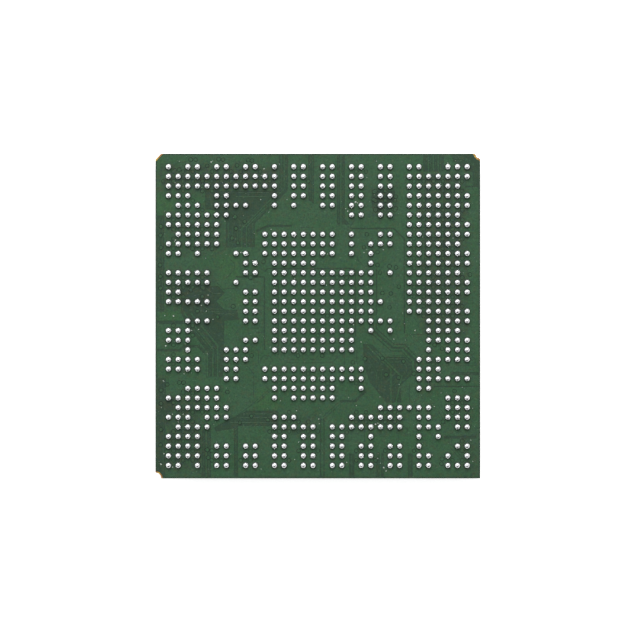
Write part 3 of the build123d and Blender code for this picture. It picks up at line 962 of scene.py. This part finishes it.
# %% Mark of the first ball's corner
MARK_RADIUS = 0.5 * MM
MARK_DEPTH = 0.06 * MM
MARK_MARGIN = 1.9 * MM
mark_place = face_side / 2 - MARK_MARGIN
clear_bench()
bpy.ops.mesh.primitive_cylinder_add(
    vertices=40, radius=MARK_RADIUS, depth=2 * MARK_DEPTH, location=(-mark_place, mark_place, cap_low.z)
)
stamp = settle(bpy.context.object)
take(cap)
sink = cap.modifiers.new("mark", "BOOLEAN")
sink.operation = "DIFFERENCE"
sink.solver = "EXACT"
sink.object = stamp
bpy.ops.object.modifier_apply(modifier="mark")
bpy.ops.object.shade_flat()
drop(stamp)
cap.data.materials.clear()
cap.data.materials.append(mould_resin)
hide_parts("mould_cap")
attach(cap, "root")
print("cap with its mark", count(cap), "triangles")

# %% [markdown]
# ## Finishes of the pieces that stay as the CAD model has them
#
# The laminate shows only its sawn edge: pale resin with the ends of glass threads in thin layers, which a
# noise stretched along the edge gives. The strips at the corner cuts are copper with a flash of gold,
# tarnished to orange. Inside the cap lie pieces that nobody sees in the picture, but a part that is taken
# apart should still look right: bare copper, gold wires, grey adhesive, and silicon with its faint blue
# sheen.

# %% Laminate edge
laminate = finish_of("glass_laminate")
place = laminate.millimetres()
layers = laminate.add("ShaderNodeMapping", None, {"Vector": place, "Scale": (0.35, 0.35, 9.0)})
threads = laminate.noise(layers, 3.0, 4.0, 0.7)
specks_of_glass = laminate.noise(place, 16.0, 2.0)
glass_laminate = laminate.surface(
    Base_Color=laminate.blend(
        specks_of_glass.above(0.56, 0.1) * 0.4,
        laminate.blend(threads.above(0.5, 0.2), paint(64, 84, 58), paint(112, 116, 82)),
        paint(150, 150, 118),
    ),
    Roughness=0.55 + threads * 0.25,
    Normal=laminate.bump(threads, 0.5, 0.02 * MM),
)

# %% Metals
def metal(name, clean, tarnished, tarnish_level, gloss):
    """Metal with a tarnish in soft patches and fine rolling marks."""
    recipe = finish_of(name)
    place = recipe.millimetres()
    patches = recipe.noise(place, 2.2, 3.0, 0.6).above(tarnish_level, 0.2)
    marks = recipe.noise(recipe.add("ShaderNodeMapping", None, {"Vector": place, "Scale": (1, 14, 1)}), 4.0)
    return recipe.surface(
        Base_Color=recipe.blend(patches, clean, tarnished),
        Metallic=0.9,
        Roughness=gloss + patches * 0.2 + marks * 0.1,
        Normal=recipe.bump(marks, 0.15, 0.005 * MM),
    )


corner_gold = metal("corner_gold", paint(214, 184, 96), paint(150, 108, 66), 0.5, 0.34)
bare_copper = metal("bare_copper", paint(214, 138, 104), paint(158, 92, 66), 0.5, 0.3)
bright_gold = metal("bright_gold", paint(238, 200, 120), paint(220, 176, 96), 0.6, 0.2)

# %% Adhesive and silicon
filler = finish_of("die_adhesive")
place = filler.millimetres()
flakes = filler.noise(place, 24.0, 2.0)
die_adhesive = filler.surface(
    Base_Color=filler.blend(flakes.above(0.5, 0.2), paint(126, 128, 130), paint(176, 178, 180)),
    Metallic=0.3,
    Roughness=0.4 + flakes * 0.2,
)
wafer = finish_of("silicon")
place = wafer.millimetres()
polish = wafer.noise(place, 5.0, 4.0, 0.7)
silicon = wafer.surface(
    Base_Color=wafer.blend(polish.above(0.5, 0.4), paint(86, 92, 108), paint(104, 108, 120)),
    Metallic=0.7,
    Roughness=0.12 + polish * 0.12,
    Normal=wafer.bump(polish, 0.1, 0.002 * MM),
)

# %% Finishes on their nodes
NODE_FINISHES = {
    "laminate_core": glass_laminate,
    "corner_plating": corner_gold,
    "ball_side_copper": bare_copper,
    "die_side_copper": bare_copper,
    "bond_fingers": bright_gold,
    "bond_wires": bright_gold,
    "die_side_mask": mask_over_copper,
    "die_attach": die_adhesive,
    "silicon_die": silicon,
}
for node, material in NODE_FINISHES.items():
    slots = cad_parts[node].data.materials
    slots.clear()
    slots.append(material)
print(len(NODE_FINISHES), "nodes keep their own mesh")

# %% [markdown]
# ## Stage, lamps and camera
#
# The photograph looks straight down on a white ground, with light that comes mostly from the far side. The
# world is white for the camera. Metal mirrors a bright room in it, with a darker patch on the near side
# that gives each ball its dark lower side. All else gets a softer share of its light. One large lamp at the
# far side shapes the balls, and a weaker one at the left fills in.

# %% World
world = bpy.data.worlds.new("studio")
bpy.context.scene.world = world
sky = Recipe(world, "Background")
camera_ray = sky.add("ShaderNodeLightPath", output="Is Camera Ray")
mirrored = sky.other(camera_ray, "Is Glossy Ray").larger(sky.other(camera_ray, "Is Transmission Ray"))
direction = sky.add("ShaderNodeTexCoord", output="Generated")
_, towards_far, _ = sky.along(direction)
DARK_TILT = math.radians(52)
DARK_SIDE = (0.0, -math.sin(DARK_TILT), math.cos(DARK_TILT))
facing_dark = sky.add(
    "ShaderNodeVectorMath", {"operation": "DOT_PRODUCT"}, {0: direction, 1: DARK_SIDE}, output="Value"
)
# How bright a mirror sees the room: brighter to the far side, less the dark patch
room = 0.74 + towards_far * 0.22 - facing_dark.above(0.86, 0.1) * 0.54
diffuse_share = 0.45
sky.surface(
    Color=camera_ray.larger(mirrored * room).larger((1 - camera_ray.larger(mirrored)) * diffuse_share),
    Strength=1.0,
)

# %% Floor
clear_bench()
FLOOR_WIDTH = 600 * MM
FLOOR_GAP = 0.01 * MM
FLOOR_GLOW = 0.72
bpy.ops.mesh.primitive_plane_add(size=FLOOR_WIDTH, location=(0, 0, -FLOOR_GAP))
floor = bpy.context.object
floor.name = "floor"
ground = finish_of("pale_floor")
floor_seen = ground.add("ShaderNodeLightPath", output="Is Camera Ray")
ground.surface(
    Base_Color=(0.86, 0.86, 0.86, 1),
    Roughness=0.8,
    Specular_IOR_Level=0.0,
    Emission_Color=floor_seen.larger(ground.other(floor_seen, "Is Glossy Ray")) * FLOOR_GLOW,
    Emission_Strength=1.0,
)
floor.data.materials.append(ground.owner)

# %% Lamps
def soft_lamp(name, place, width, watts):
    """A square area lamp that looks at the middle of the chip."""
    clear_bench()
    bpy.ops.object.light_add(type="AREA", location=place)
    lamp = bpy.context.object
    lamp.name = name
    lamp.data.shape = "SQUARE"
    lamp.data.size = width
    lamp.data.energy = watts
    lamp.rotation_euler = (-Vector(place)).to_track_quat("-Z", "Y").to_euler()
    return lamp


far_lamp = soft_lamp("far_lamp", (0.0, 0.3, 0.39), 0.3, 1.9)
far_lamp.data.color = (1.0, 0.985, 0.955)
side_lamp = soft_lamp("side_lamp", (-0.39, 0.09, 0.24), 0.2, 0.35)
side_lamp.data.color = (0.93, 0.97, 1.0)

# %% Camera
LENS = 150.0
SENSOR = 36.0
PICTURE_WIDTH = 53.2 * MM
LOOK_AT = Vector((0.18 * MM, -0.33 * MM, FILM_TOP))
clear_bench()
distance = PICTURE_WIDTH * LENS / SENSOR
bpy.ops.object.camera_add(location=LOOK_AT + Vector((0, 0, distance)), rotation=(0, 0, 0))
camera = bpy.context.object
camera.data.lens = LENS
camera.data.sensor_width = SENSOR
camera.data.clip_start = distance / 100
camera.data.clip_end = distance * 10
bpy.context.scene.camera = camera
bpy.context.scene.view_settings.view_transform = "Standard"
print("camera", round(distance / MM, 1), "mm above the lacquer")
